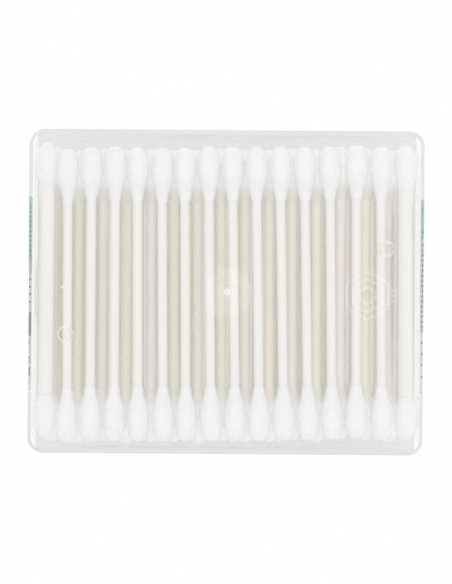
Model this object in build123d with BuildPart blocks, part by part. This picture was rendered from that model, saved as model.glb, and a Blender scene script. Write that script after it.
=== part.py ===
from build123d import *
import math
import os

# Cotton swab box: a moulded tray of translucent plastic with its lid on a living hinge,
# a printed label on the front and back walls, and rows of paper-stick cotton swabs inside.
# The box stands on four small feet. X runs along the swabs, Y from the front wall to the
# hinged back wall and Z up from the table. The origin is under the middle of the box.

os.makedirs("parts", exist_ok=True)

# Driving dimensions of the moulding, in millimetres
DEPTH = 101.3  # front to back, outside, at the foot of the walls
WALL = 1.15
FLOOR = 1.15
CORNER = 3.9  # upright corners, outside
BOTTOM_EDGE = 1.5  # rounding where the walls meet the underside
INNER_EDGE = 0.7  # bevel inside, round the floor
LID_HEIGHT = 8.0
LID_TOP = 1.1
LID_EDGE = 1.1  # bevel round the lid's top
END_ROOM = 2.65  # from the ends of the swabs to the side walls
RIM_ROOM = 0.75  # from the top row of swabs to the parting line

# The lap joint between base and lid, with its catch
TONGUE = 0.5
TONGUE_HEIGHT = 1.8
LAP_GAP = 0.15
CATCH_LENGTH = 12.0
CATCH_RADIUS = 0.25

# The thumb recess in the front wall
RECESS_WIDTH = 17.6
RECESS_HEIGHT = 8.0
RECESS_DEPTH = 1.0
RECESS_CORNER = 3.0

# The living hinge, a thin web that bulges out in a small loop while the lid is shut
HINGE_LENGTH = 70.0
HINGE_BULGE = 0.95
HINGE_WEB = 0.35
HINGE_ROOT = 0.4  # how far the web's ends run into the walls

# Feet and the nub of the gate on the underside
FOOT_DIAMETER = 4.2
FOOT_HEIGHT = 0.6
FOOT_INSET = 5.3
GATE_NUB_DIAMETER = 1.6
GATE_NUB_HEIGHT = 0.45

# Labels on the front and back walls
LABEL_LENGTH = 50.4
LABEL_THICKNESS = 0.1
LABEL_MARGIN = 1.2
LABEL_SHIFT = -0.8  # along X

# Swabs: a six-sided stick and two eight-sided tips each
STICK_SIDES = 6
TIP_SIDES = 8
SWAB_LENGTH = 75.5
STICK_DIAMETER = 2.5  # across corners, like the next one
HEAD_DIAMETER = 5.8
HEAD_LENGTH = 13.7  # cotton on each end
DOME_LENGTH = 3.4  # the rounded end of the cotton
DOME_DIAMETER = 3.2
NECK_LENGTH = 5.8  # the taper down to the stick
NECK_COTTON = 0.15  # thickness of the cotton where it ends on the stick
ROWS = 5
SIDE_ROOM = 1.0  # from the first and last heads to the walls
TOUCH_GAP = 0.06
PACKED_GAP = 0.65  # between heads in the well filled part of a row
LOOSE_PITCHES = 4  # at the back end of a row, where the swabs lie further apart
STAGGER = 0.9  # how far swabs lie out of line with each other
STAGGER_MEAN = -0.6

# Worked out from the driving dimensions
flat_share = math.cos(math.pi / TIP_SIDES)
head_flat = HEAD_DIAMETER * flat_share  # across flats
floor_top = FOOT_HEIGHT + FLOOR
pressed_pitch = head_flat + TOUCH_GAP
packed_pitch = head_flat + PACKED_GAP
row_rise = math.sqrt(2) * head_flat - pressed_pitch / 2 + TOUCH_GAP
swabs_top = floor_top + head_flat + (ROWS - 1) * row_rise
rim_height = swabs_top + RIM_ROOM
width = SWAB_LENGTH + 2 * (END_ROOM + WALL)
inner_width = width - 2 * WALL
inner_depth = DEPTH - 2 * WALL
inner_corner = CORNER - WALL
tongue_front = -inner_depth / 2 - TONGUE
catch_height = rim_height + TONGUE_HEIGHT / 2
row_room = inner_depth - 2 * SIDE_ROOM - head_flat


def export(piece, name):
    """Label a finished piece and write its STEP file."""
    piece.part.label = name
    export_step(piece.part, f"parts/{name}.step")
    print(name, len(piece.part.solids()), "solids,", round(piece.part.volume), "mm3")


def hinge_web(side):
    """Section of one half of the hinge loop: side -1 is the base's half, 1 the lid's."""
    away = Align.MIN if side < 0 else Align.MAX
    near = Align.MAX if side > 0 else Align.MIN
    with BuildSketch(Plane.YZ.offset(-HINGE_LENGTH / 2)) as section:
        with Locations((DEPTH / 2, rim_height)):
            Circle(HINGE_BULGE)
            Circle(HINGE_BULGE - HINGE_WEB, mode=Mode.SUBTRACT)
            Rectangle(2 * HINGE_BULGE, HINGE_BULGE, align=(Align.CENTER, away), mode=Mode.SUBTRACT)
            Rectangle(HINGE_BULGE, 2 * HINGE_BULGE, align=(Align.MAX, Align.CENTER), mode=Mode.SUBTRACT)
        with Locations((DEPTH / 2, rim_height + side * HINGE_BULGE)):
            Rectangle(HINGE_ROOT, HINGE_WEB, align=(Align.MAX, near))
    return section.sketch


# Base: a tray with a lip round its rim, a thumb recess, half of the hinge web and four feet
underside = Plane.XY.offset(FOOT_HEIGHT)
rim = Plane.XY.offset(rim_height)
front_outside = Plane(origin=(0, -DEPTH / 2, rim_height), x_dir=(1, 0, 0), z_dir=(0, -1, 0))
recess_inside = front_outside.offset(-RECESS_DEPTH)
catch_place = Location((0, tongue_front, catch_height), (0, 90, 0))

with BuildPart() as base:
    with BuildSketch(underside):
        RectangleRounded(width, DEPTH, CORNER)
    extrude(amount=rim_height - FOOT_HEIGHT)
    fillet(base.faces().sort_by(Axis.Z)[0].edges(), BOTTOM_EDGE)

    # The tongue stands on the inner part of the wall, and the cavity runs through both
    with BuildSketch(rim):
        RectangleRounded(inner_width + 2 * TONGUE, inner_depth + 2 * TONGUE, inner_corner + TONGUE)
    extrude(amount=TONGUE_HEIGHT)
    with Locations(catch_place):
        Cylinder(CATCH_RADIUS, CATCH_LENGTH)
    with BuildSketch(Plane.XY.offset(floor_top)):
        RectangleRounded(inner_width, inner_depth, inner_corner)
    extrude(amount=rim_height + TONGUE_HEIGHT - floor_top, mode=Mode.SUBTRACT)
    cavity_floor = base.faces().filter_by(Plane.XY).sort_by(Axis.Z)[1]
    chamfer(cavity_floor.edges(), INNER_EDGE)

    # Thumb recess: a backing inside the wall, then a shallow pocket outside
    with BuildSketch(recess_inside):
        with Locations((0, TONGUE_HEIGHT)):
            Rectangle(
                RECESS_WIDTH + 2 * WALL,
                RECESS_HEIGHT + WALL + TONGUE_HEIGHT,
                align=(Align.CENTER, Align.MAX),
            )
        fillet(vertices().group_by(Axis.Y)[0], RECESS_CORNER + WALL)
    extrude(amount=-WALL)
    with BuildSketch(front_outside):
        Rectangle(RECESS_WIDTH, RECESS_HEIGHT, align=(Align.CENTER, Align.MAX))
        fillet(vertices().group_by(Axis.Y)[0], RECESS_CORNER)
    extrude(amount=-RECESS_DEPTH, mode=Mode.SUBTRACT)

    extrude(hinge_web(-1), amount=HINGE_LENGTH)

    # Feet, and the nub where the gate was
    with BuildSketch(underside):
        with GridLocations(width - 2 * FOOT_INSET, DEPTH - 2 * FOOT_INSET, 2, 2):
            Circle(FOOT_DIAMETER / 2)
    extrude(amount=-FOOT_HEIGHT)
    with BuildSketch(underside):
        Circle(GATE_NUB_DIAMETER / 2)
    extrude(amount=-GATE_NUB_HEIGHT)
export(base, "base")

# Lid: a shallow cap whose skirt laps over the tongue, with the other half of the hinge web
with BuildPart() as lid:
    with BuildSketch(rim):
        RectangleRounded(width, DEPTH, CORNER)
    extrude(amount=LID_HEIGHT)
    chamfer(lid.faces().sort_by(Axis.Z)[-1].edges(), LID_EDGE)

    with BuildSketch(rim):
        RectangleRounded(inner_width, inner_depth, inner_corner)
    extrude(amount=LID_HEIGHT - LID_TOP, mode=Mode.SUBTRACT)
    with BuildSketch(rim):
        RectangleRounded(
            inner_width + 2 * (TONGUE + LAP_GAP),
            inner_depth + 2 * (TONGUE + LAP_GAP),
            inner_corner + TONGUE + LAP_GAP,
        )
    extrude(amount=TONGUE_HEIGHT + LAP_GAP, mode=Mode.SUBTRACT)
    with Locations(catch_place):
        Cylinder(CATCH_RADIUS + LAP_GAP, CATCH_LENGTH + 2 * LAP_GAP, mode=Mode.SUBTRACT)
    extrude(hinge_web(1), amount=HINGE_LENGTH)
export(lid, "lid")

# Labels: thin films on the flat of the front and back walls, below the thumb recess
label_foot = FOOT_HEIGHT + BOTTOM_EDGE + LABEL_MARGIN
label_height = rim_height - RECESS_HEIGHT - LABEL_MARGIN - label_foot
for name, side in (("front_label", -1), ("back_label", 1)):
    wall_plane = Plane(
        origin=(LABEL_SHIFT, side * DEPTH / 2, label_foot),
        x_dir=(-side, 0, 0),
        z_dir=(0, side, 0),
    )
    with BuildPart() as label:
        with BuildSketch(wall_plane):
            Rectangle(LABEL_LENGTH, label_height, align=(Align.CENTER, Align.MIN))
        extrude(amount=LABEL_THICKNESS)
    export(label, name)

# One cotton tip, from its neck at the origin to its rounded end along +X
across_x = Plane(origin=(0, 0, 0), x_dir=(0, 1, 0), z_dir=(1, 0, 0))
neck_inset = (HEAD_DIAMETER / 2 - STICK_DIAMETER / 2 - NECK_COTTON) * flat_share
dome_inset = (HEAD_DIAMETER - DOME_DIAMETER) / 2 * flat_share

with BuildPart() as tip:
    with BuildSketch(across_x):
        RegularPolygon(HEAD_DIAMETER / 2, TIP_SIDES, rotation=180 / TIP_SIDES)
    extrude(amount=HEAD_LENGTH)
    dome_end = tip.faces().sort_by(Axis.X)[-1]
    chamfer(dome_end.edges(), dome_inset, DOME_LENGTH, reference=dome_end)
    neck_end = tip.faces().sort_by(Axis.X)[0]
    chamfer(neck_end.edges(), neck_inset, NECK_LENGTH, reference=neck_end)

# One paper stick between its two cotton necks, centred on the origin
stick_length = SWAB_LENGTH - 2 * HEAD_LENGTH
with BuildPart() as stick:
    with BuildSketch(across_x.offset(-stick_length / 2)):
        RegularPolygon(STICK_DIAMETER / 2, STICK_SIDES)
    extrude(amount=stick_length)


def row_places(row):
    """Centres of the swabs of one row: odd rows lie in the gaps of the even ones."""
    pitches = math.floor(row_room / packed_pitch)
    packed = pitches - 1 - LOOSE_PITCHES
    loose_pitch = (row_room - pressed_pitch - packed * packed_pitch) / LOOSE_PITCHES
    steps = [pressed_pitch] + [packed_pitch] * packed + [loose_pitch] * LOOSE_PITCHES
    across = [-row_room / 2 + sum(steps[:count]) for count in range(len(steps) + 1)]
    if row % 2:
        across = [(first + second) / 2 for first, second in zip(across, across[1:])]
    height = floor_top + head_flat / 2 + row * row_rise
    return [
        (STAGGER_MEAN + STAGGER * math.sin(2.4 * count + 1.7 * row), y, height)
        for count, y in enumerate(across)
    ]


for row in range(ROWS):
    places = row_places(row)
    with BuildPart() as sticks:
        with Locations(*places):
            add(stick.part)
    export(sticks, f"row_{row + 1}_sticks")
    with BuildPart() as tips:
        with Locations(*[(x + stick_length / 2, y, z) for x, y, z in places]):
            add(tip.part)
        with Locations(*[Location((x - stick_length / 2, y, z), (0, 0, 180)) for x, y, z in places]):
            add(tip.part)
    export(tips, f"row_{row + 1}_tips")

print("outside", round(width, 2), "x", DEPTH, "mm, lid top at", round(rim_height + LID_HEIGHT, 3), "mm")
print("rim at", round(rim_height, 3), "mm, top of the swabs at", round(swabs_top, 3), "mm")
print("hinge axis at y", round(DEPTH / 2 + HINGE_BULGE, 3), "mm")
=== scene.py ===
# %% [markdown]
# # A box of cotton swabs
#
# The object is a small translucent box of moulded polypropylene, with a lid on a living hinge, a printed
# film on its front and back walls and five rows of paper-stick cotton swabs inside. The photograph looks
# straight at the underside: four feet, the frosted pad round the gate and two ring marks face the camera,
# and the swabs show through the hazy floor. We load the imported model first, because every later piece is
# placed by it.

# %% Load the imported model
import math

import bmesh
import bpy
from mathutils import Matrix, Vector


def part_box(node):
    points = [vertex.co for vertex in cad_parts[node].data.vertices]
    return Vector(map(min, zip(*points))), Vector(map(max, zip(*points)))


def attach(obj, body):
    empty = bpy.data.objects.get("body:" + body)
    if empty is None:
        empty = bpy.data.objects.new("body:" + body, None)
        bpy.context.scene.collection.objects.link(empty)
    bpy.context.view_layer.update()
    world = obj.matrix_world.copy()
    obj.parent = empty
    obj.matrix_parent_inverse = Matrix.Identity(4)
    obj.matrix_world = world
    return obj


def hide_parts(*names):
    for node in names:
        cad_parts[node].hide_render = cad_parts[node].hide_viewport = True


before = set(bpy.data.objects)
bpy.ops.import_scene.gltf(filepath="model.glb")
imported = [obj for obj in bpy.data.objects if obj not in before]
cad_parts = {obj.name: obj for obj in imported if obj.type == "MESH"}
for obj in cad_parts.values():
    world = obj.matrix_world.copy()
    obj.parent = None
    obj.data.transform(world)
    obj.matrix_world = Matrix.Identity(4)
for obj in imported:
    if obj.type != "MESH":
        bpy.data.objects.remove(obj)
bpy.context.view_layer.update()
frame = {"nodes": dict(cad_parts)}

MM = 0.001
base_low, base_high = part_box("base")
lid_low, lid_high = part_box("lid")
print("nodes:", ", ".join(frame["nodes"]))

# %% [markdown]
# ## The camera
#
# The camera looks straight up at the underside from about 0.9 m. X, the direction of the swabs, points up
# in the picture and Y points right. The box lies half a degree out of square in the photograph, so the
# camera is rolled by that much. The tall side of the picture spans about 150 mm at the underside, which
# gives the focal length.

# %% Camera under the box
CAMERA_DISTANCE = 0.9
PICTURE_ROWS = 584
PIXEL = 0.2557 * MM  # at the underside
CAMERA_X = 0.02 * MM
SENSOR = 36.0
ROLL = math.radians(0.45)


def add_object(name, data):
    """A new object in the scene."""
    made = bpy.data.objects.new(name, data)
    bpy.context.collection.objects.link(made)
    return made


camera_data = bpy.data.cameras.new("camera")
camera_data.sensor_fit = "VERTICAL"
camera_data.sensor_height = SENSOR
camera_data.lens = SENSOR * CAMERA_DISTANCE / (PICTURE_ROWS * PIXEL)
camera = add_object("camera", camera_data)
right = Vector((math.sin(ROLL), math.cos(ROLL), 0))
up = Vector((math.cos(ROLL), -math.sin(ROLL), 0))
turn = Matrix((right, up, right.cross(up))).transposed()
camera.matrix_world = Matrix.Translation((CAMERA_X, 0, -CAMERA_DISTANCE)) @ turn.to_4x4()
bpy.context.scene.camera = camera
print("focal length", round(camera_data.lens, 1), "mm")

# %% [markdown]
# ## Helpers for node trees
#
# The world, the materials and the Geometry Nodes are all built from nodes and links. These short helpers
# add a node with everything that feeds it, do sums, and open a new group, so that a later cell reads like a
# list of what its tree does.


# %% Node helpers
def feed(tree, target, source):
    """Give an input socket a value, or link another node's output to it. A colour gets an alpha of 1."""
    if isinstance(source, bpy.types.NodeSocket):
        tree.links.new(source, target)
    else:
        target.default_value = (*source, 1) if target.type == "RGBA" else source


def add_node(tree, kind, sockets=(), **settings):
    """Add a node: settings are its properties, and sockets pairs each input with what feeds it."""
    node = tree.nodes.new(kind)
    for name, value in settings.items():
        setattr(node, name, value)
    for socket, source in dict(sockets).items():
        feed(tree, node.inputs[socket], source)
    return node


def math_node(tree, operation, *values, clamp=False):
    """A Math node's output; values are numbers or sockets."""
    return add_node(tree, "ShaderNodeMath", enumerate(values), operation=operation, use_clamp=clamp).outputs[0]


def times(tree, first, *others, clamp=False):
    """The product of numbers or sockets."""
    for other in others:
        first = math_node(tree, "MULTIPLY", first, other, clamp=clamp)
    return first


def ramp(tree, value, low, high, to_low=0.0, to_high=1.0):
    """A value mapped from low..high to to_low..to_high, and held at the ends."""
    sockets = {"Value": value, "From Min": low, "From Max": high, "To Min": to_low, "To Max": to_high}
    return add_node(tree, "ShaderNodeMapRange", sockets, clamp=True).outputs[0]


def blend(tree, share, first, second, kind="VALUE"):
    """first where share is 0 and second where it is 1: numbers, or colours if kind is RGBA."""
    node = add_node(tree, "ShaderNodeMix", {0: share}, data_type="FLOAT" if kind == "VALUE" else kind)
    for socket, value in zip([socket for socket in node.inputs[1:] if socket.type == kind], (first, second)):
        feed(tree, socket, value)
    return next(socket for socket in node.outputs if socket.type == kind)


def blend_colors(tree, share, first, second):
    """The same for two colours."""
    return blend(tree, share, first, second, "RGBA")


def split_xyz(tree, vector):
    """The three parts of a vector."""
    return add_node(tree, "ShaderNodeSeparateXYZ", {0: vector}).outputs


def join_xyz(tree, x=0.0, y=0.0, z=0.0):
    """A vector from three numbers or sockets."""
    return add_node(tree, "ShaderNodeCombineXYZ", enumerate((x, y, z))).outputs[0]


def new_group(name, kind, inputs, outputs):
    """A node group from (name, socket type, default value) in and (name, socket type) out.

    Returns the tree, the sockets that carry what it is given and those that take its results.
    """
    tree = bpy.data.node_groups.new(name, kind)
    for label, socket, default in inputs:
        made = tree.interface.new_socket(label, in_out="INPUT", socket_type=f"NodeSocket{socket}")
        if default is not None:
            made.default_value = default
    for label, socket in outputs:
        tree.interface.new_socket(label, in_out="OUTPUT", socket_type=f"NodeSocket{socket}")
    return tree, tree.nodes.new("NodeGroupInput").outputs, tree.nodes.new("NodeGroupOutput").inputs


print("helpers ready")

# %% [markdown]
# ## Light, floor and background
#
# The photograph has an even white light from all round and no shadow. A world of one plain strength gives
# that, and two large soft lamps add a little form. The background is white because camera, glossy and
# transmission rays see the world as white, while everything else is lit at a plain level. The floor is seen
# only from above: from below it is transparent and it keeps no light from the underside, yet the box still
# drops its shadow on it. Right under the box it has a hole, which spares the camera's rays one see-through
# layer. In the photograph the box lies upside down, so behind the swabs there is the shaded table under its
# lid, not the bright background. A second stage sheet, a little wider than the lid, stands for that patch
# of table. It is seen only from below, and only camera and transmission rays see it shine. Its glow is
# painted shade: a fixed colour for the shaded table, darker and warmer behind the sticks. It lights nothing.

# %% World
LIGHT_LEVEL = 1.0

scene = bpy.context.scene
scene.view_settings.view_transform = "Standard"
world = bpy.data.worlds.new("studio")
scene.world = world
world.use_nodes = True
sky = world.node_tree
sky.nodes.clear()
rays = add_node(sky, "ShaderNodeLightPath").outputs
seen = math_node(sky, "MAXIMUM", rays["Is Camera Ray"], rays["Is Glossy Ray"])
seen = math_node(sky, "MAXIMUM", seen, rays["Is Transmission Ray"])
plain = add_node(sky, "ShaderNodeBackground", {"Color": (1.0, 1.0, 0.995), "Strength": LIGHT_LEVEL})
white = add_node(sky, "ShaderNodeBackground", {"Color": (1, 1, 1), "Strength": 1.0})
choose = add_node(sky, "ShaderNodeMixShader", {0: seen, 1: plain.outputs[0], 2: white.outputs[0]})
add_node(sky, "ShaderNodeOutputWorld", {0: choose.outputs[0]})
print("world at", LIGHT_LEVEL)


# %% Lamps
def soft_lamp(name, place, target, size, power):
    """A large square lamp that looks at a point."""
    data = bpy.data.lights.new(name, "AREA")
    data.shape = "SQUARE"
    data.size = size
    data.energy = power
    lamp = add_object(name, data)
    lamp.location = place
    aim = (Vector(target) - Vector(place)).normalized()
    lamp.rotation_euler = aim.to_track_quat("-Z", "Y").to_euler()
    lamp.visible_camera = False


soft_lamp("lamp_above", (0.5, -0.6, 0.9), (0, 0, 0.02), 0.6, 2.0)
soft_lamp("lamp_below", (0.35, 0.25, -0.9), (0, 0, 0.01), 0.6, 1.2)
print("two lamps")


# %% Floor, and the table that the box lies on in the photograph
def one_sided_sheet(name, half_x, half_y, height, faces_up, hole=None):
    """A flat stage sheet, seen from one side only, that takes no part in lighting the object.

    Returns its tree and the shader socket for the side that is seen.
    """
    rims = [(half_x, half_y), hole] if hole else [(half_x, half_y)]
    signs = ((-1, -1), (1, -1), (1, 1), (-1, 1))
    corners = [(sign_x * x, sign_y * y, height) for x, y in rims for sign_x, sign_y in signs]
    faces = [(0, 1, 2, 3)]
    if hole:
        faces = [(0, 1, 5, 4), (1, 2, 6, 5), (2, 3, 7, 6), (3, 0, 4, 7)]
    mesh = bpy.data.meshes.new(name)
    mesh.from_pydata(corners, [], faces if faces_up else [face[::-1] for face in faces])
    sheet = add_object(name, mesh)
    unseen_by = ["diffuse", "glossy", "volume_scatter", "shadow"] + ["transmission"] * faces_up
    for ray in unseen_by:
        setattr(sheet, f"visible_{ray}", False)
    paint = bpy.data.materials.new(name + "_paint")
    paint.use_nodes = True
    tree = paint.node_tree
    behind = add_node(tree, "ShaderNodeNewGeometry").outputs["Backfacing"]
    clear = add_node(tree, "ShaderNodeBsdfTransparent").outputs[0]
    pick = add_node(tree, "ShaderNodeMixShader", {0: behind, 2: clear})
    feed(tree, tree.nodes["Material Output"].inputs["Surface"], pick.outputs[0])
    mesh.materials.append(paint)
    return tree, pick.inputs[1]


FLOOR_HALF = 3.0
FLOOR_COLOR = (0.93, 0.93, 0.93)
HOLE = (base_high.x - 2 * MM, lid_high.x + 7 * MM)  # half its size, a little smaller than the box
TABLE_PLACE = (lid_high.x + 0.6 * MM, -lid_low.y - 0.4 * MM, lid_high.z + 0.4 * MM)  # half its size, and height

tree, front = one_sided_sheet("floor", FLOOR_HALF, FLOOR_HALF, 0.0, faces_up=True, hole=HOLE)
surface = tree.nodes["Principled BSDF"]
feed(tree, surface.inputs["Base Color"], FLOOR_COLOR)
feed(tree, surface.inputs["Roughness"], 0.9)
feed(tree, front, surface.outputs[0])
tree, front = one_sided_sheet("table", *TABLE_PLACE, faces_up=False)
tree.nodes.remove(tree.nodes["Principled BSDF"])
print("floor and table")

# %% How bright the shaded table looks
# Painted shade: the table sheet glows with fixed colours that stand in for the shade under the box, darker and
# warmer behind the pile of sticks
SHADED_TABLE_COLOR = (0.66, 0.66, 0.655)
SHADE_COLOR = (0.58, 0.52, 0.43)  # behind the pile of sticks
SHADE_ENDS, TABLE_STARTS = 28 * MM, 32 * MM  # along X, from the middle

rays = add_node(tree, "ShaderNodeLightPath").outputs
seen = math_node(tree, "MAXIMUM", rays["Is Camera Ray"], rays["Is Transmission Ray"])
place = add_node(tree, "ShaderNodeTexCoord").outputs["Object"]
from_middle = math_node(tree, "ABSOLUTE", split_xyz(tree, place)["X"])
color = blend_colors(tree, ramp(tree, from_middle, SHADE_ENDS, TABLE_STARTS), SHADE_COLOR, SHADED_TABLE_COLOR)
feed(tree, front, add_node(tree, "ShaderNodeEmission", {"Color": color, "Strength": seen}).outputs[0])
print("table looks like", SHADED_TABLE_COLOR, "and behind the sticks like", SHADE_COLOR)

# %% [markdown]
# ## Effects that more than one material uses
#
# *Fine grain* is the small unevenness of every surface here: the flow lines of the moulded plastic, the
# fibres of the rolled paper and the wound cotton differ only in how far the same noise is stretched. *Print
# field* answers where a rectangle of ink lies on a wall, so that the labels can be coloured from plain
# shapes instead of an image.

# %% Fine grain group
grain, given, result = new_group(
    "fine_grain",
    "ShaderNodeTree",
    [
        ("Place", "Vector", None),
        ("Stretch", "Vector", (1.0, 1.0, 1.0)),
        ("Scale", "Float", 1000.0),
        ("Detail", "Float", 3.0),
        ("Strength", "Float", 0.2),
        ("Depth", "Float", 0.0001),
    ],
    [("Value", "Float"), ("Normal", "Vector")],
)
sockets = {0: given["Place"], 1: given["Stretch"]}
stretched = add_node(grain, "ShaderNodeVectorMath", sockets, operation="MULTIPLY")
sockets = {"Vector": stretched.outputs[0], "Scale": given["Scale"], "Detail": given["Detail"]}
height = add_node(grain, "ShaderNodeTexNoise", sockets).outputs["Fac"]
sockets = {"Height": height, "Strength": given["Strength"], "Distance": given["Depth"]}
feed(grain, result["Value"], height)
feed(grain, result["Normal"], add_node(grain, "ShaderNodeBump", sockets).outputs[0])
print("group", grain.name)

# %% Print field group
field, given, result = new_group(
    "print_field",
    "ShaderNodeTree",
    [
        ("Along", "Float", 0.0),
        ("Height", "Float", 0.0),
        ("Left", "Float", 0.0),
        ("Right", "Float", 1.0),
        ("Foot", "Float", 0.0),
        ("Top", "Float", 1.0),
    ],
    [("Mask", "Float")],
)
inside = []
for value, low, high in (("Along", "Left", "Right"), ("Height", "Foot", "Top")):
    inside.append(math_node(field, "GREATER_THAN", given[value], given[low]))
    inside.append(math_node(field, "LESS_THAN", given[value], given[high]))
feed(field, result["Mask"], times(field, *inside))


def field_mask(tree, along, height, left, right, foot, top):
    """1 inside a rectangle and 0 outside."""
    sockets = {"Along": along, "Height": height, "Left": left, "Right": right, "Foot": foot, "Top": top}
    return add_node(tree, "ShaderNodeGroup", sockets, node_tree=field).outputs[0]


print("group", field.name)

# %% [markdown]
# The plastic looks denser where one looks along a wall instead of through it, because the light's way in it
# is longer. *Depth from outline* gives every point its distance inwards from the box's rounded outline, so
# that the plastic can be made denser over the walls. In the photograph the long walls look a little thinner
# than the short ones, so the outline's long sides lie 0.2 mm further out.

# %% Depth from outline group
depths, given, result = new_group(
    "depth_from_outline",
    "ShaderNodeTree",
    [
        ("Place", "Vector", None),
        ("Half Width", "Float", base_high.x),
        ("Half Depth", "Float", 0.2 * MM - base_low.y),
        ("Corner", "Float", 3.9 * MM),
    ],
    [("Depth", "Float")],
)
parts = split_xyz(depths, given["Place"])
over = []
for axis_name, half in (("X", "Half Width"), ("Y", "Half Depth")):
    to_core = math_node(depths, "SUBTRACT", given[half], given["Corner"])
    over.append(math_node(depths, "SUBTRACT", math_node(depths, "ABSOLUTE", parts[axis_name]), to_core))
past = [math_node(depths, "MAXIMUM", value, 0.0) for value in over]
outside = math_node(depths, "SQRT", math_node(depths, "ADD", *[times(depths, value, value) for value in past]))
within = math_node(depths, "MINIMUM", math_node(depths, "MAXIMUM", *over), 0.0)
from_arc = math_node(depths, "ADD", outside, within)
feed(depths, result["Depth"], math_node(depths, "SUBTRACT", given["Corner"], from_arc))
print("group", depths.name)


# %% A material with its grain
def grained_material(name, color, roughness, scale, stretch, strength, depth, detail=3.0, place=None):
    """A new material, its tree, its Principled BSDF, the grain that feeds its normal and where it is read."""
    material = bpy.data.materials.new(name)
    material.use_nodes = True
    tree = material.node_tree
    if place:
        where = add_node(tree, "ShaderNodeAttribute", attribute_name=place).outputs["Vector"]
    else:
        where = add_node(tree, "ShaderNodeTexCoord").outputs["Object"]
    sockets = {"Place": where, "Stretch": stretch, "Scale": scale, "Detail": detail}
    sockets |= {"Strength": strength, "Depth": depth}
    texture = add_node(tree, "ShaderNodeGroup", sockets, node_tree=grain)
    surface = tree.nodes["Principled BSDF"]
    for socket, value in (("Base Color", color), ("Roughness", roughness), ("Normal", texture.outputs[1])):
        feed(tree, surface.inputs[socket], value)
    return material, tree, surface, texture, where


print("grained_material ready")


# %% Let light in
def let_light_in(tree, surface, share):
    """Shadow and diffuse rays find this share of the surface clear."""
    rays = add_node(tree, "ShaderNodeLightPath").outputs
    clear = add_node(tree, "ShaderNodeBsdfTransparent", {"Color": (1, 1, 1)}).outputs[0]
    shown = surface.outputs[0]
    partly = add_node(tree, "ShaderNodeMixShader", {0: share, 1: shown, 2: clear}).outputs[0]
    for ray in ("Is Shadow Ray", "Is Diffuse Ray"):
        shown = add_node(tree, "ShaderNodeMixShader", {0: rays[ray], 1: shown, 2: partly}).outputs[0]
    feed(tree, tree.nodes["Material Output"].inputs["Surface"], shown)


print("let_light_in ready")

# %% [markdown]
# ## The box's plastic
#
# Thin polypropylene isn't clear glass: part of the light passes straight through and part is scattered into
# a white veil. The veil is the Principled BSDF's alpha. It is thin on the flat of the floor and thick over
# the walls, but stays thin there beside the labels, whose print shows in the wall's edge. From outside, the
# upright walls and the lid's skirt are given a little more of it. Shadow and diffuse rays pass the base and
# find the lid almost clear, as real light that is scattered forward does, so the swabs inside are lit well.
# The pad round the gate is frosted: it scatters a little more and shines less. The nub, a small pip and the
# rims of the feet look denser too.

# %% Values of the plastic
VEIL = 0.15  # of the light, face on
WALL_VEIL = 0.86  # looking along a wall
LABEL_VEIL = 0.07  # the same, beside a label
UPRIGHT_VEIL = 0.14
UPRIGHT_EDGE_VEIL = 0.17
SHELL_VEIL = 0.20  # the upright walls' outer skin and the lid's walls, looked at from outside the plastic
SHELL_EDGE_VEIL = 0.50
WEB_SHARE = 0.4  # of the veil, on the hinge's web, which is much thinner
PAD_VEIL, NUB_VEIL, PIP_VEIL, RIM_VEIL = 0.08, 0.36, 0.45, 0.06
PAD_RADIUS = 6.35 * MM
PAD_MIDDLE = (0.0, 0.35 * MM)
PIP_MIDDLE = (0.9 * MM, -41.9 * MM)
FOOT_RADIUS = 2.1 * MM
FOOT_MIDDLE = (36.25 * MM, 45.35 * MM)
BOX_COLOR = (0.908, 0.91, 0.908)
# Painted shade: the two greyer colours below stand in for the dimmer light along the walls and on the outer
# skin
WALL_SHADE_COLOR = (0.69, 0.692, 0.69)
SHELL_SHADE_COLOR = (0.74, 0.75, 0.755)
PAD_COLOR = (0.97, 0.97, 0.96)
LEVEL_ROUGHNESS, PAD_ROUGHNESS, UPRIGHT_ROUGHNESS = 0.22, 0.5, 0.42
LEVEL_GRAIN = 0.02
print("veil from", LABEL_VEIL, "to", WALL_VEIL)

# %% The plastic of base and lid
box_plastic, tree, surface, texture, where = grained_material(
    "box_plastic", BOX_COLOR, LEVEL_ROUGHNESS,
    scale=160.0, stretch=(0.5, 1.0, 1.0), strength=LEVEL_GRAIN, depth=0.0001,
)
feed(tree, surface.inputs["IOR"], 1.49)
at_x, at_y, at_z = split_xyz(tree, where)
size_x, size_y = [math_node(tree, "ABSOLUTE", part) for part in (at_x, at_y)]
way_in = add_node(tree, "ShaderNodeGroup", {"Place": where}, node_tree=depths).outputs[0]

# Which way the surface faces: 1 on floor, lid and their rounded edges, 0 on the upright walls
side = add_node(tree, "ShaderNodeNewGeometry").outputs
level = ramp(tree, math_node(tree, "ABSOLUTE", split_xyz(tree, side["Normal"])["Z"]), 0.03, 0.2)
upright = math_node(tree, "SUBTRACT", 1.0, level)
from_outside = math_node(tree, "SUBTRACT", 1.0, side["Backfacing"])

# Over a wall, and beside a label
at_foot = ramp(tree, at_z, 2.2 * MM, 1.9 * MM)
at_top = ramp(tree, at_z, lid_high.z - 1.2 * MM, lid_high.z - 1.0 * MM)
at_end = math_node(tree, "MAXIMUM", at_foot, at_top)
over_wall = times(tree, ramp(tree, way_in, 1.30 * MM, 1.16 * MM), at_end, from_outside)
label_low, label_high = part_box("front_label")
by_label = field_mask(tree, at_x, size_y, label_low.x, label_high.x, foot=49.2 * MM, top=60 * MM)
level_veil = blend(tree, over_wall, VEIL, blend(tree, by_label, WALL_VEIL, LABEL_VEIL))


# Marks of the tool: the frosted pad, the white torn face of the nub, the pip and the rims of the feet
def distance_to(x, y, middle):
    """Distance in the XY plane from a place."""
    sockets = {0: join_xyz(tree, x, y), 1: (*middle, 0)}
    return add_node(tree, "ShaderNodeVectorMath", sockets, operation="DISTANCE").outputs["Value"]


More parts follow.
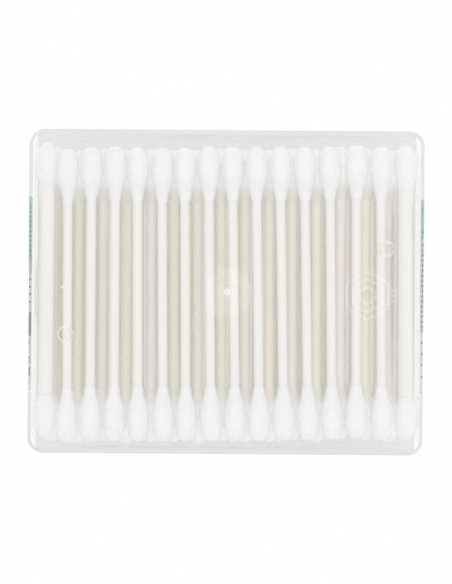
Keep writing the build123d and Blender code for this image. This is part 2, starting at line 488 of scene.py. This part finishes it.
beneath = ramp(tree, at_z, 0.8 * MM, 0.65 * MM)
to_pad = distance_to(at_x, at_y, PAD_MIDDLE)
pad = times(tree, ramp(tree, to_pad, PAD_RADIUS + 0.3 * MM, PAD_RADIUS - 0.6 * MM), beneath)
nub = times(tree, ramp(tree, to_pad, 1.3 * MM, 0.7 * MM), beneath)
pip = times(tree, ramp(tree, distance_to(at_x, at_y, PIP_MIDDLE), 0.5 * MM, 0.3 * MM), beneath)
to_foot = distance_to(size_x, size_y, FOOT_MIDDLE)
in_foot = ramp(tree, to_foot, FOOT_RADIUS + 0.05 * MM, FOOT_RADIUS - 0.05 * MM)
rim = times(tree, in_foot, ramp(tree, to_foot, FOOT_RADIUS - 0.7 * MM, FOOT_RADIUS - 0.3 * MM), beneath)
for mark, veil in ((pad, PAD_VEIL), (nub, NUB_VEIL), (pip, PIP_VEIL), (rim, RIM_VEIL)):
    level_veil = math_node(tree, "ADD", level_veil, times(tree, mark, veil), clamp=True)

# The upright walls, denser at a grazing angle
facing = add_node(tree, "ShaderNodeLayerWeight", {"Blend": 0.35}).outputs["Facing"]
skin = ramp(tree, way_in, 0.7 * MM, 0.5 * MM)
of_lid = ramp(tree, at_z, base_high.z, base_high.z + 0.2 * MM)
shell = times(tree, math_node(tree, "MAXIMUM", skin, of_lid), from_outside)
upright_veil = blend(
    tree,
    shell,
    ramp(tree, facing, 0.5, 0.87, UPRIGHT_VEIL, UPRIGHT_EDGE_VEIL),
    ramp(tree, facing, 0.3, 0.87, SHELL_VEIL, SHELL_EDGE_VEIL),
)
cloudy = ramp(tree, texture.outputs["Value"], 0.0, 1.0, 0.97, 1.03)
alpha = blend(tree, level, upright_veil, times(tree, level_veil, cloudy, clamp=True))
web = ramp(tree, at_y, 0.05 * MM - base_low.y, 0.1 * MM - base_low.y, 1.0, WEB_SHARE)

# Painted shade: where one looks along a wall, and on the outer skin from outside, the veil takes a greyer
# colour than the plastic's own
wall_shade = times(tree, over_wall, level, math_node(tree, "SUBTRACT", 1.0, by_label))
color = blend_colors(tree, wall_shade, BOX_COLOR, WALL_SHADE_COLOR)
color = blend_colors(tree, times(tree, shell, upright), color, SHELL_SHADE_COLOR)
roughness = blend(tree, level, UPRIGHT_ROUGHNESS, ramp(tree, pad, 0.0, 1.0, LEVEL_ROUGHNESS, PAD_ROUGHNESS))
feed(tree, surface.inputs["Base Color"], blend_colors(tree, pad, color, PAD_COLOR))
feed(tree, surface.inputs["Roughness"], roughness)
feed(tree, surface.inputs["Alpha"], times(tree, alpha, web))
feed(tree, texture.inputs["Strength"], times(tree, level, LEVEL_GRAIN))
let_light_in(tree, surface, 0.8)

for node in ("base", "lid"):
    materials = frame["nodes"][node].data.materials
    materials.clear()
    materials.append(box_plastic)
frame["nodes"]["base"].visible_shadow = False
frame["nodes"]["base"].visible_diffuse = False
print("box_plastic on base and lid")

# %% [markdown]
# The relief marks need two finishes. Matt lines catch the light and show pale over the darker gaps between
# the sticks. The ejector rings have a level crest and steep sides, which bend the view sideways. Their look
# is painted: the crest is a creamy painted light for the lit sticks seen through it. The sides that face
# along Y, across the sticks, are a painted shade for the dark gaps they show. The surface's own normal
# tells these places apart.

# %% Relief finishes
EVEN = (1.0, 1.0, 1.0)  # a grain that isn't stretched

matt_relief, tree, surface, texture, _ = grained_material(
    "matt_relief", (0.95, 0.95, 0.935), 0.6, scale=900.0, stretch=EVEN, strength=0.0, depth=0.00005
)
feed(tree, surface.inputs["Alpha"], ramp(tree, texture.outputs["Value"], 0.3, 0.7, 0.10, 0.20))

# Painted light on the ring's crest and painted shade on its sides that face along Y
RING_CREST_LIGHT = (0.84, 0.82, 0.72)
RING_SIDE_SHADE = (0.36, 0.33, 0.26)
ring_relief, tree, surface, _, _ = grained_material(
    "ring_relief", RING_CREST_LIGHT, 0.25, scale=500.0, stretch=EVEN, strength=0.03, depth=0.00005
)
_, slope_y, slope_z = split_xyz(tree, add_node(tree, "ShaderNodeNewGeometry").outputs["Normal"])
steep = ramp(tree, math_node(tree, "ABSOLUTE", slope_z), 0.95, 0.75)
across = ramp(tree, math_node(tree, "ABSOLUTE", slope_y), 0.25, 0.50)
feed(tree, surface.inputs["Base Color"], blend_colors(tree, across, RING_CREST_LIGHT, RING_SIDE_SHADE))
feed(tree, surface.inputs["Alpha"], blend(tree, steep, 0.3, blend(tree, across, 0.08, 0.36)))
print("matt_relief and ring_relief")

# %% [markdown]
# ## Paper and cotton
#
# The sticks are tightly rolled paper: smooth, a little warm, with fibres along the stick. Inside the pile
# the light has bounced between many sticks and the paper looks warmer, so the rows between the first and
# the last get a creamier paper, and a slow noise across the pile gives each stick its own tint. The cotton
# is wound round the stick's end, so its fibres run round the tip: the noise is read in the tip's own place,
# which Geometry Nodes write as an attribute, and stretched round its axis. Loose cotton lets light through,
# so shadow and diffuse rays find the tips and their fibres mostly clear.

# %% Paper
PAPER_GRAIN = {"scale": 900.0, "stretch": (0.12, 1.0, 1.0), "strength": 0.2, "depth": 0.00005}
INNER_TINTS = ((0.86, 0.828, 0.70), (0.90, 0.84, 0.752))

stick_paper = grained_material("stick_paper", (0.766, 0.752, 0.728), 0.55, **PAPER_GRAIN)[0]
inner_paper, tree, surface, _, where = grained_material("inner_paper", INNER_TINTS[0], 0.6, **PAPER_GRAIN)
sockets = {"Place": where, "Stretch": (0.02, 1.0, 1.0), "Scale": 130.0, "Detail": 0.0}
slow = add_node(tree, "ShaderNodeGroup", sockets, node_tree=grain).outputs["Value"]
feed(tree, surface.inputs["Base Color"], blend_colors(tree, ramp(tree, slow, 0.38, 0.62), *INNER_TINTS))
print("two papers")


# %% Cotton
def cotton_material(name, start, middle, end):
    """Wound cotton, coloured along the tip: start where it begins on the stick, then middle, then end."""
    material, tree, surface, _, place = grained_material(
        name, middle, 0.95, scale=520.0, stretch=(2.4, 0.7, 0.7), strength=0.4, depth=0.00014, detail=4.0,
        place="tip_place",
    )
    along = split_xyz(tree, place)["X"]
    color = blend_colors(tree, ramp(tree, along, 3.0 * MM, 6.5 * MM), start, middle)
    color = blend_colors(tree, ramp(tree, along, 9.0 * MM, 12.5 * MM), color, end)
    for socket, value in (("Base Color", color), ("Sheen Weight", 0.25), ("Sheen Roughness", 0.6)):
        feed(tree, surface.inputs[socket], value)
    let_light_in(tree, surface, 0.85)
    return material


# Colours along the tip: start, middle, end. On the inner rows they are painted shade and light: the warm start
# is painted shade, the bright middle is painted light and the greyer end is painted shade
OUTER = ((0.795, 0.795, 0.80),) * 3
INNER_SHADE_AND_LIGHT = ((0.84, 0.782, 0.70), (0.965, 0.955, 0.94), (0.775, 0.775, 0.775))
wools = {
    layer: [cotton_material(f"{layer}_{part}", *colors) for part in ("cotton", "fibres")]
    for layer, colors in (("outer", OUTER), ("inner", INNER_SHADE_AND_LIGHT))
}
print("cotton:", ", ".join(material.name for pair in wools.values() for material in pair))

# %% [markdown]
# ## The swabs
#
# Seventy-eight swabs are one shape repeated, which is what Geometry Nodes are for. A tree takes the points
# where the swabs lie, bends nothing and draws nothing by hand: it revolves the outline of a cotton tip,
# sets one on each end of each swab with its own small turn and size, and lets a noise make the cotton
# uneven. Rows 1 and 2 lie where the photograph shows their swabs, row 1 with its small tilts; the rows
# above lie in the gaps of those below, at the model's heights.

# %% Where the swabs lie
SWAB_LENGTH = 75.5 * MM
COTTON_LENGTH = 13.7 * MM
STICK_RADIUS = 1.24 * MM
COTTON_RADIUS = 3.0 * MM

# Middles of the first row's swabs along Y and X in mm, and their tilts in thousandths
FIRST_ROW_Y = (-46.2, -40.75, -34.75, -28.64, -22.7, -16.33, -10.45, -4.18,
               1.98, 8.16, 14.37, 20.63, 26.95, 33.5, 39.9, 46.2)
FIRST_ROW_X = (0.35, -1.2, -0.7, -0.7, -0.7, -0.7, -0.7, -0.45,
               -0.45, -0.45, -0.3, -0.2, 0.05, 0.35, 0.0, 0.1)
FIRST_ROW_TILT = (-1.4, 3.5, 0.8, 1.9, 8.9, 11.0, 11.5, 15.4,
                  17.9, 18.3, 21.3, 20.2, 16.1, 6.0, 10.0, 9.1)

# How far the second row's swabs lie from the middles of the gaps in the photograph, in mm
SECOND_ROW_SHIFT = (-1.0, -0.5, -0.12, 0.08, 0.25, 0.05, 0.05, -0.1,
                    -0.1, -0.1, -0.4, -0.45, -0.7, -0.8, -1.2)
ROW_SHIFT = {3: 0.4, 5: -0.4}  # so that no gap runs through the whole pile
END_STICK = 1.62  # how much thicker the first and last stick of row 1 look
SLIM_TIP = 0.93  # the width of the first two tips of rows 1, 3 and 5


def row_points(row):
    """Points (x, y, z, tilt, tip's width, stick's width) of one row: even rows lie in the gaps of odd ones."""
    low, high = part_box(f"row_{row}_sticks")
    columns = [FIRST_ROW_X, FIRST_ROW_Y, FIRST_ROW_TILT]
    if row % 2 == 0:
        columns = [[(first + second) / 2 for first, second in zip(column, column[1:])] for column in columns]
    points = []
    for count, (x, y, tilt) in enumerate(zip(*columns)):
        if row > 1:
            x += 0.25 * math.sin(2.4 * count + 1.7 * row) - 0.45
            y += SECOND_ROW_SHIFT[count] if row == 2 else 0.3 * math.sin(1.1 * count + 2.3 * row)
            y += ROW_SHIFT.get(row, 0.0)
            tilt = 0.4 * tilt + 4.0 * math.sin(0.7 * count + 1.9 * row)
        slim = SLIM_TIP if count < 2 and row % 2 else 1.0
        thick = END_STICK if row == 1 and count in (0, 15) else 1.0
        points.append((x * MM, y * MM, (low.z + high.z) / 2, -tilt / 1000, slim, thick))
    return points


swab_rows = [row_points(row) for row in range(1, 6)]
print("swabs in each row:", [len(points) for points in swab_rows])


# %% Helpers for Geometry Nodes
def geometry_group(name, inputs):
    """A Geometry Nodes tree with a geometry socket in and out."""
    inputs = [("Geometry", "Geometry", None)] + inputs
    return new_group(name, "GeometryNodeTree", inputs, [("Geometry", "Geometry")])


def numbers(sockets):
    """Those sockets that take or give a plain number."""
    return [socket for socket in sockets if socket.type == "VALUE"]


def random_value(tree, low, high, seed, further=0):
    """A random number for each element; further sets several draws from one seed apart."""
    seed = math_node(tree, "ADD", seed, further) if further else seed
    node = add_node(tree, "FunctionNodeRandomValue", {"Seed": seed}, data_type="FLOAT")
    for socket, value in zip(numbers(node.inputs), (low, high)):
        feed(tree, socket, value)
    return numbers(node.outputs)[0]


def point_value(tree, name):
    """A value that each swab's point carries, such as its tilt."""
    node = add_node(tree, "GeometryNodeInputNamedAttribute", {"Name": name}, data_type="FLOAT")
    return numbers(node.outputs)[0]


def spin(tree, *angles):
    """A rotation from three Euler angles, each a number or a socket."""
    return add_node(tree, "FunctionNodeEulerToRotation", {0: join_xyz(tree, *angles)}).outputs[0]


def position(tree):
    """Where each element lies."""
    return add_node(tree, "GeometryNodeInputPosition").outputs[0]


def scaled(tree, vector, amount):
    """A vector times a number."""
    sockets = {0: vector, "Scale": amount}
    return add_node(tree, "ShaderNodeVectorMath", sockets, operation="SCALE").outputs[0]


def moved(tree, geometry, **where):
    """Set Position: the geometry with a new Position, or with an Offset."""
    return add_node(tree, "GeometryNodeSetPosition", {"Geometry": geometry, **where}).outputs[0]


def swept(tree, curve, profile, **more):
    """Curve to Mesh with closed ends."""
    sockets = {"Curve": curve, "Profile Curve": profile, "Fill Caps": True, **more}
    return add_node(tree, "GeometryNodeCurveToMesh", sockets).outputs[0]


def set_on(tree, points, instance, rotation, scale):
    """Instance on Points: one copy at each point."""
    sockets = {"Points": points, "Instance": instance, "Rotation": rotation, "Scale": scale}
    return add_node(tree, "GeometryNodeInstanceOnPoints", sockets).outputs[0]


def realized(tree, instances):
    """Copies made real."""
    return add_node(tree, "GeometryNodeRealizeInstances", {0: instances}).outputs[0]


def painted(tree, geometry, material):
    """The geometry in one material."""
    return add_node(tree, "GeometryNodeSetMaterial", {"Geometry": geometry, "Material": material}).outputs[0]


def smooth(tree, geometry):
    """The geometry with smooth shading."""
    return add_node(tree, "GeometryNodeSetShadeSmooth", {"Geometry": geometry}).outputs[0]


print("tree helpers ready")

# %% [markdown]
# ### The cotton tip
#
# A cotton tip is a drop: a thin start on the stick, a long slope, the widest place about half way and a
# round end. A curve along the axis gets a radius from a Float Curve, which is the drop's outline, and Curve
# to Mesh revolves a circle along it. The points are set closer together towards the round end, where the
# outline turns fastest.

# %% Tree for the cotton tips
TIP_RINGS = 26
TIP_SIDES = 28
TIP_OUTLINE = ((0.0, 0.47), (0.06, 0.49), (0.15, 0.56), (0.27, 0.72), (0.40, 0.90), (0.52, 1.0), (0.66, 0.985),
               (0.80, 0.90), (0.90, 0.74), (0.96, 0.55), (0.99, 0.32), (1.0, 0.06))
FULL_TURN = 6.283

tips, given, result = geometry_group(
    "cotton_tips",
    [
        ("Length", "Float", COTTON_LENGTH),
        ("Radius", "Float", COTTON_RADIUS),
        ("Swab Length", "Float", SWAB_LENGTH),
        ("Rings", "Int", TIP_RINGS),
        ("Sides", "Int", TIP_SIDES),
        ("Lump Height", "Float", 0.22 * MM),
        ("Lump Scale", "Float", 420.0),
        ("Fibres per Area", "Float", 1.0e6),
        ("Fibre Radius", "Float", 0.03 * MM),
        ("Floor Level", "Float", 1.78 * MM),
        ("Seed", "Int", 3),
        ("Material", "Material", None),
        ("Fibre Material", "Material", None),
    ],
)
axis = add_node(tips, "GeometryNodeCurvePrimitiveLine").outputs[0]
axis = add_node(tips, "GeometryNodeResampleCurve", {"Curve": axis, "Count": given["Rings"]}).outputs[0]
factor = add_node(tips, "GeometryNodeSplineParameter").outputs["Factor"]
closer = math_node(tips, "SINE", times(tips, factor, math.pi / 2))
axis = moved(tips, axis, Position=join_xyz(tips, times(tips, closer, given["Length"])))

outline = add_node(
    tips,
    "ShaderNodeFloatCurve",
    {"Value": math_node(tips, "DIVIDE", split_xyz(tips, position(tips))[0], given["Length"])},
)
curve = outline.mapping.curves[0]
for place in TIP_OUTLINE[1:-1]:
    curve.points.new(*place)
curve.points[0].location = TIP_OUTLINE[0]
curve.points[-1].location = TIP_OUTLINE[-1]
outline.mapping.update()
sockets = {"Resolution": given["Sides"], "Radius": 1.0}
ring = add_node(tips, "GeometryNodeCurvePrimitiveCircle", sockets).outputs[0]
drop = swept(tips, axis, ring, Scale=times(tips, outline.outputs[0], given["Radius"]))
sockets = {"Geometry": drop, "Name": "tip_place", "Value": position(tips)}
one_tip = add_node(
    tips, "GeometryNodeStoreNamedAttribute", sockets, data_type="FLOAT_VECTOR", domain="POINT"
).outputs[0]
print("the drop has", TIP_RINGS, "rings of", TIP_SIDES, "sides")

# %% Two tips on every swab
tilt_angle = point_value(tips, "tilt")
slimness = point_value(tips, "slim")
half = math_node(tips, "SUBTRACT", times(tips, given["Swab Length"], 0.5), given["Length"])
ends = add_node(tips, "GeometryNodeJoinGeometry")
for end, seed in ((1, 11), (-1, 23)):
    reach = times(tips, half, end)
    shift = [times(tips, reach, math_node(tips, operation, tilt_angle)) for operation in ("COSINE", "SINE")]
    seed_here = math_node(tips, "ADD", given["Seed"], seed)
    heading = math_node(tips, "ADD", tilt_angle, 0.0 if end > 0 else math.pi)
    length = random_value(tips, 0.985, 1.01, seed_here, 1)
    fat = times(tips, random_value(tips, 0.97, 1.0, seed_here, 2), slimness)
    tips_here = set_on(
        tips,
        moved(tips, given["Geometry"], Offset=join_xyz(tips, *shift)),
        one_tip,
        spin(tips, random_value(tips, 0, FULL_TURN, seed_here), 0.0, heading),
        join_xyz(tips, length, fat, fat),
    )
    feed(tips, ends.inputs[0], tips_here)

lumps = add_node(tips, "ShaderNodeTexNoise", {"Scale": given["Lump Scale"], "Detail": 2.0}).outputs["Fac"]
raised = times(tips, math_node(tips, "SUBTRACT", lumps, 0.5), given["Lump Height"])
normal = add_node(tips, "GeometryNodeInputNormal").outputs[0]
uneven = moved(tips, realized(tips, ends.outputs[0]), Offset=scaled(tips, normal, raised))

# Loose fibres: short hairs that start on the cotton and stand a little off it
sockets = {"Start": (0, 0, -0.05 * MM), "End": (0.75 * MM, 0, 0.5 * MM)}
hair_line = add_node(tips, "GeometryNodeCurvePrimitiveLine", sockets).outputs[0]
sockets = {"Resolution": 3, "Radius": given["Fibre Radius"]}
hair = swept(tips, hair_line, add_node(tips, "GeometryNodeCurvePrimitiveCircle", sockets).outputs[0])
sockets = {"Mesh": uneven, "Density": given["Fibres per Area"], "Seed": given["Seed"]}
roots = add_node(tips, "GeometryNodeDistributePointsOnFaces", sockets).outputs
sockets = {0: roots["Rotation"], 1: spin(tips, 0.0, 0.0, random_value(tips, 0, FULL_TURN, given["Seed"], 7))}
about = add_node(tips, "FunctionNodeRotateRotation", sockets, rotation_space="LOCAL").outputs[0]
hair_size = join_xyz(tips, *[random_value(tips, 0.6, 1.3, given["Seed"], 9) for _ in range(3)])
hairs = realized(tips, set_on(tips, roots["Points"], hair, about, hair_size))

# Where a tip lies on the floor of the box the soft cotton is pressed flat, and the fibres there end inside it
fuzzy = add_node(tips, "GeometryNodeJoinGeometry")
for part, material, inside in ((uneven, "Material", 0.0), (hairs, "Fibre Material", 0.03 * MM)):
    x, y, z = split_xyz(tips, position(tips))
    lowest = math_node(tips, "ADD", given["Floor Level"], inside)
    pressed = moved(tips, part, Position=join_xyz(tips, x, y, math_node(tips, "MAXIMUM", z, lowest)))
    feed(tips, fuzzy.inputs[0], painted(tips, pressed, given[material]))
feed(tips, result[0], smooth(tips, fuzzy.outputs[0]))
print("tree", tips.name, "with", len(tips.nodes), "nodes")

# %% [markdown]
# ### The paper stick
#
# A stick is a strip of paper rolled tight, so its section is a spiral that ends in a tiny step, the paper's
# outer edge, which runs along the whole stick. The circle's points are pushed out a little more the further
# they lie along it, which leaves that step where the last point meets the first.

# %% Tree for the paper sticks
sticks, given, result = geometry_group(
    "paper_sticks",
    [
        ("Length", "Float", SWAB_LENGTH - 1.6 * COTTON_LENGTH),
        ("Radius", "Float", STICK_RADIUS),
        ("Sides", "Int", 22),
        ("Paper Step", "Float", 0.035),
        ("Seed", "Int", 5),
        ("Material", "Material", None),
    ],
)
sockets = {
    end: join_xyz(sticks, times(sticks, given["Length"], sign)) for end, sign in (("Start", -0.5), ("End", 0.5))
}
axis = add_node(sticks, "GeometryNodeCurvePrimitiveLine", sockets).outputs[0]
sockets = {"Resolution": given["Sides"], "Radius": given["Radius"]}
section = add_node(sticks, "GeometryNodeCurvePrimitiveCircle", sockets).outputs[0]
around = add_node(sticks, "GeometryNodeSplineParameter").outputs["Factor"]
grow = math_node(sticks, "ADD", times(sticks, around, given["Paper Step"]), 0.98)
spiral = moved(sticks, section, Position=scaled(sticks, position(sticks), grow))
thickness = point_value(sticks, "thick")
laid = set_on(
    sticks,
    given["Geometry"],
    swept(sticks, axis, spiral),
    spin(sticks, random_value(sticks, 0, FULL_TURN, given["Seed"]), 0.0, point_value(sticks, "tilt")),
    join_xyz(sticks, 1.0, thickness, thickness),
)
feed(sticks, result[0], painted(sticks, smooth(sticks, realized(sticks, laid)), given["Material"]))
print("tree", sticks.name, "with", len(sticks.nodes), "nodes")


# %% Run a tree and keep a plain mesh
def grown(name, points, tree, **values):
    """Run a Geometry Nodes tree on the points of a row and return the result as an object with a plain mesh."""
    seeds = bpy.data.meshes.new(name + "_points")
    seeds.from_pydata([point[:3] for point in points], [], [])
    for index, label in ((3, "tilt"), (4, "slim"), (5, "thick")):
        values_here = seeds.attributes.new(label, "FLOAT", "POINT")
        for item, point in zip(values_here.data, points):
            item.value = point[index]
    holder = add_object(name + "_points", seeds)
    modifier = holder.modifiers.new(name, "NODES")
    modifier.node_group = tree
    sockets = {item.name: item.identifier for item in tree.interface.items_tree if item.in_out == "INPUT"}
    for label, value in values.items():
        modifier[sockets[label.replace("_", " ")]] = value
    graph = bpy.context.evaluated_depsgraph_get()
    mesh = bpy.data.meshes.new_from_object(holder.evaluated_get(graph))
    holder.modifiers.clear()
    bpy.data.objects.remove(holder)
    return add_object(name, mesh)


def triangles(piece):
    """How many triangles a finished piece has."""
    return sum(len(polygon.vertices) - 2 for polygon in piece.data.polygons)


print("grown ready")

# %% Lay the rows
for row, points in enumerate(swab_rows, start=1):
    outer = row in (1, 5)
    paper = stick_paper if outer else inner_paper
    row_sticks = grown(f"sticks_row_{row}", points, sticks, Seed=5 + row, Material=paper)
    wool, fibres = wools["outer" if outer else "inner"]
    fuzz = 2.2e6 if outer else 0.5e6
    row_tips = grown(
        f"tips_row_{row}", points, tips,
        Seed=40 * row, Material=wool, Fibre_Material=fibres, Fibres_per_Area=fuzz,
    )
    row_tips.visible_shadow = outer  # spares the light's rays the see-through layers of the inner rows
    for piece, node, slot in (
        (row_sticks, f"row_{row}_sticks", "paper_stick"),
        (row_tips, f"row_{row}_tips", "cotton"),
    ):
        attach(piece, "tray")
        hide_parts(node)
    print("row", row, "sticks", triangles(row_sticks), "tips", triangles(row_tips), "triangles")

# %% [markdown]
# ## The labels
#
# Each label is a thin printed film that lies on the outside of its wall, and its colours are seen from
# inside too, through the plastic. It replaces the model's film by one that is let into the wall by a few
# hundredths of a millimetre, so that the two surfaces never lie in the same place. The print is generic:
# fields of teal, pale blue and white, with plain bars.

# %% Printed film
TEAL = (0.36, 0.66, 0.67)
DEEP_TEAL = (0.10, 0.28, 0.29)
PALE_BLUE = (0.62, 0.74, 0.77)
FILM_WHITE = (0.93, 0.935, 0.93)
INK = (0.015, 0.02, 0.03)


def printed_film(name, fields, bars):
    """A film coloured by its fields and bars.

    A field is (left, right, colour) and a bar (left, right, foot, top, pitch, width, colour), in mm.
    """
    material, tree, surface, _, where = grained_material(
        name, FILM_WHITE, 0.32, scale=600.0, stretch=EVEN, strength=0.12, depth=0.00005
    )
    for label, value in (("Weight", 0.9), ("Radius", (1.0, 1.0, 1.0)), ("Scale", 0.1 * MM)):
        feed(tree, surface.inputs[f"Subsurface {label}"], value)
    at_x, _, at_z = split_xyz(tree, where)
    along, height = times(tree, at_x, 1000.0), times(tree, at_z, 1000.0)
    color = FILM_WHITE
    whole_height = [(*ends, 0.0, 40.0, 0, 0, ink) for *ends, ink in fields]
    for left, right, foot, top, pitch, width, ink in whole_height + bars:
        amount = field_mask(tree, along, height, left, right, foot, top)
        if pitch:
            from_left = math_node(tree, "ADD", along, 100.0)
            step = math_node(tree, "FRACT", math_node(tree, "DIVIDE", from_left, pitch))
            amount = times(tree, amount, math_node(tree, "LESS_THAN", step, width / pitch))
        color = blend_colors(tree, amount, color, ink)
    feed(tree, surface.inputs["Base Color"], color)
    return material


front_film = printed_film(
    "front_film",
    fields=[(7.6, 30.0, TEAL), (5.0, 7.6, PALE_BLUE)],
    bars=[
        (8.2, 21.6, 4.5, 13.0, 1.25, 0.72, DEEP_TEAL),
        (-3.7, 4.6, 5.0, 12.0, 1.9, 0.5, INK),
        (-11.7, -5.5, 4.5, 15.5, 0, 0, INK),
        (-14.0, -12.2, 6.0, 9.5, 0.9, 0.35, INK),
        (-21.8, -19.8, 5.0, 10.5, 0, 0, INK),
        (-18.6, -16.4, 5.0, 9.0, 1.1, 0.5, INK),
    ],
)
back_film = printed_film(
    "back_film",
    fields=[(14.6, 30.0, TEAL), (-9.9, 14.6, PALE_BLUE)],
    bars=[
        (20.2, 22.0, 5.0, 12.0, 0.9, 0.6, DEEP_TEAL),
        (13.4, 16.2, 5.0, 14.0, 1.5, 0.6, DEEP_TEAL),
        (-9.9, 13.0, 5.0, 11.0, 1.32, 0.62, INK),
        (-21.8, -12.0, 5.0, 10.5, 2.9, 0.55, INK),
    ],
)
print("front_film and back_film")

# %% [markdown]
# The film's mesh is a rectangle with rounded corners. One helper draws any flat outline, gives it its
# thickness and takes the sharpness off its rims. The relief marks of the underside use it again.


# %% Flat plates
def rounded_rectangle(width, height, radius, steps=6):
    """Corner points of a rectangle with round corners, anticlockwise, round the origin."""
    points = []
    for corner, (sign_x, sign_y) in enumerate(((1, 1), (-1, 1), (-1, -1), (1, -1))):
        for step in range(steps + 1):
            angle = math.pi / 2 * (corner + step / steps)
            points.append((sign_x * (width / 2 - radius) + radius * math.cos(angle),
                           sign_y * (height / 2 - radius) + radius * math.sin(angle)))
    return points


def band(work, lower, upper):
    """Faces between two rings of points."""
    for index, corner in enumerate(lower):
        after = (index + 1) % len(lower)
        work.faces.new((corner, lower[after], upper[after], upper[index]))


def finished(name, work, material, smooth_below=-2.0):
    """The object that bmesh has drawn; faces whose normal's Z is less than smooth_below are smooth."""
    bmesh.ops.recalc_face_normals(work, faces=work.faces)
    for face in work.faces:
        face.smooth = face.normal.z < smooth_below
    mesh = bpy.data.meshes.new(name)
    work.to_mesh(mesh)
    work.free()
    mesh.materials.append(material)
    return add_object(name, mesh)


def plate(name, outlines, thickness, to_place, material, bevel):
    """Flat plates from closed outlines, thickened upwards, put in place by to_place and joined in one mesh."""
    work = bmesh.new()
    for outline in outlines:
        middle = sum((Vector(point) for point in outline), Vector((0, 0))) / len(outline)
        high = []
        for point in outline:
            away = Vector(point) - middle
            high.append(work.verts.new((*(middle + away * (1 - bevel / away.length)), thickness)))
        low, rim = [
            [work.verts.new((*point, height)) for point in outline] for height in (0, thickness - bevel)
        ]
        work.faces.new(low[::-1])
        work.faces.new(high)
        band(work, low, rim)
        band(work, rim, high)
    bmesh.ops.transform(work, matrix=to_place, verts=work.verts)
    return finished(name, work, material)


print("plate ready")

# %% Labels on the walls
LET_IN = 0.03 * MM
STANDS_OFF = 0.095 * MM

for node, outward, film in (("front_label", -1, front_film), ("back_label", 1, back_film)):
    low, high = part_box(node)
    middle = (low + high) / 2
    wall = high.y if outward < 0 else low.y
    outline = rounded_rectangle(high.x - low.x, high.z - low.z, 1.2 * MM)
    columns = Matrix(((-outward, 0, 0), (0, 0, outward), (0, 1, 0)))
    place = Matrix.Translation((middle.x, wall - outward * LET_IN, middle.z)) @ columns.to_4x4()
    label = plate(f"{node}_film", [outline], LET_IN + STANDS_OFF, place, film, bevel=0.02 * MM)
    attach(label, "tray")
    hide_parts(node)
    print(node, "film", triangles(label), "triangles")

# %% [markdown]
# ## Relief on the underside
#
# The moulding tool leaves its traces on the floor. The frosted pad round the gate, its torn nub and a small
# pip are masks in the plastic's own material. Two ejector rings and a plain pattern of nested hexagons
# stand one to three tenths of a millimetre proud of the underside, inside the height of the feet: a ring is
# an outline revolved round an upright axis, and the hexagons' lines are plates like the labels.

# %% Rings by revolving an outline
UNDERSIDE = 0.6 * MM  # the feet stand this high
RING = ((1.45, -0.02), (1.55, 0.12), (1.80, 0.30), (2.12, 0.30), (2.24, 0.20), (2.30, -0.02))


def turned(name, outline, centre, material, steps=48):
    """Revolve (radius, depth) points in mm round an upright axis; depth is measured below the underside."""
    work = bmesh.new()
    turns = [math.tau * step / steps for step in range(steps)]
    rings = [
        [
            work.verts.new(((centre[0] + radius * math.cos(turn)) * MM,
                            (centre[1] + radius * math.sin(turn)) * MM, UNDERSIDE - depth * MM))
            for turn in turns
        ]
        for radius, depth in outline
    ]
    for first, second in zip(rings, rings[1:] + rings[:1]):
        band(work, first, second)
    return finished(name, work, material, smooth_below=0.9)


def relief(piece):
    """Every relief piece belongs to the tray's plastic, and light passes it."""
    piece.visible_shadow = False
    piece.visible_diffuse = False
    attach(piece, "tray")
    print(piece.name, triangles(piece), "triangles")


relief(turned("ring_mark_back", RING, (11.35, 40.85), ring_relief))
relief(turned("ring_mark_front", RING, (-11.1, -41.0), ring_relief))

# %% Raised lines
LINE_WIDTH = 0.42  # this and the next three are in mm
SHORT_LINE_WIDTH = 0.4
HEXAGON_RADII = (6.2, 4.3, 2.2)
HEXAGONS_MIDDLE = Vector((-0.6, -36.2))  # its second number is -Y, since the plate is turned over


def ribbon(start, end, width):
    """Outline of a straight raised line with square ends, seen from below; it is given in mm."""
    start, end = Vector(start) * MM, Vector(end) * MM
    along = (end - start).normalized()
    side = Vector((-along.y, along.x)) * width * MM / 2
    return [tuple(point) for point in (start - side, end - side, end + side, start + side)]


lines = []
for radius in HEXAGON_RADII:
    turns = [math.tau * step / 6 for step in range(7)]
    corners = [HEXAGONS_MIDDLE + radius * Vector((math.cos(turn), math.sin(turn))) for turn in turns]
    lines += [ribbon(first, second, LINE_WIDTH) for first, second in zip(corners, corners[1:])]
lines += [ribbon((x, -42.2), (x, -43.6), SHORT_LINE_WIDTH) for x in (-1.8, -0.6, 0.6)]
to_underside = Matrix.Translation((0, 0, UNDERSIDE + 0.02 * MM)) @ Matrix.Diagonal((1, -1, -1, 1))
relief(plate("hexagon_mark", lines, 0.14 * MM, to_underside, matt_relief, bevel=0.03 * MM))
